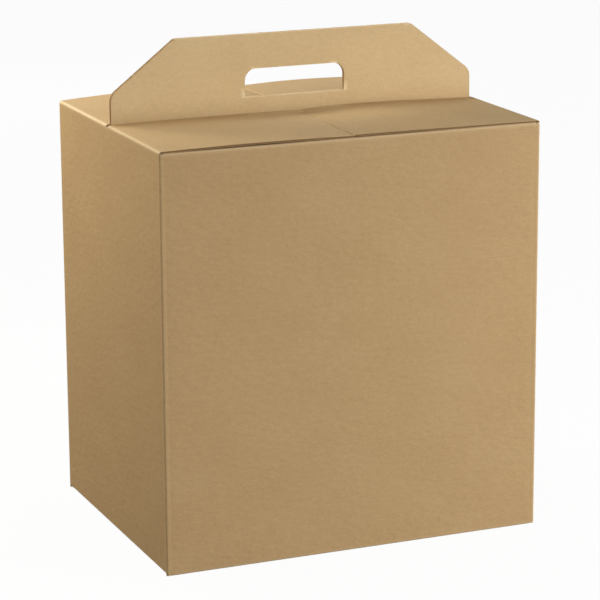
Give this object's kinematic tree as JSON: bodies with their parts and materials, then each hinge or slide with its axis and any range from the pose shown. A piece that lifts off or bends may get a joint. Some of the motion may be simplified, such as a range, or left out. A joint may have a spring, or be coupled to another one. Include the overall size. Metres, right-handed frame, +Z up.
{
  "type": "panettone gift box",
  "caption": "Upright folded kraft board gift box with a standing double-panel carry handle, a hand hole and hinged top flaps slit around the handle.",
  "frame": {"origin": "middle of the base, in the plane that the box stands on", "axes": "+Z up, +X to the right across the front, +Y from the front to the rear; the handle stands in the XZ plane"},
  "size_m": [0.34, 0.26, 0.4255],
  "materials": {
    "kraft_board": "matte"
  },
  "bodies": {
    "carton": {"carton": "kraft_board"},
    "front_left_flap": {"front_left_flap": "kraft_board"},
    "rear_left_flap": {"rear_left_flap": "kraft_board"},
    "front_right_flap": {"front_right_flap": "kraft_board"},
    "rear_right_flap": {"rear_right_flap": "kraft_board"}
  },
  "joints": [
    {"name": "front_left_flap_fold", "type": "hinge", "parent": "carton", "child": "front_left_flap", "pos_m": [-0.17, -0.0659, 0.3566], "axis": [0, -1, 0], "range_deg": [0, 250]},
    {"name": "rear_left_flap_fold", "type": "hinge", "parent": "carton", "child": "rear_left_flap", "pos_m": [-0.17, 0.0659, 0.3566], "axis": [0, -1, 0], "range_deg": [0, 250]},
    {"name": "front_right_flap_fold", "type": "hinge", "parent": "carton", "child": "front_right_flap", "pos_m": [0.17, -0.0659, 0.3566], "axis": [0, 1, 0], "range_deg": [0, 250]},
    {"name": "rear_right_flap_fold", "type": "hinge", "parent": "carton", "child": "rear_right_flap", "pos_m": [0.17, 0.0659, 0.3566], "axis": [0, 1, 0], "range_deg": [0, 250]}
  ]
}
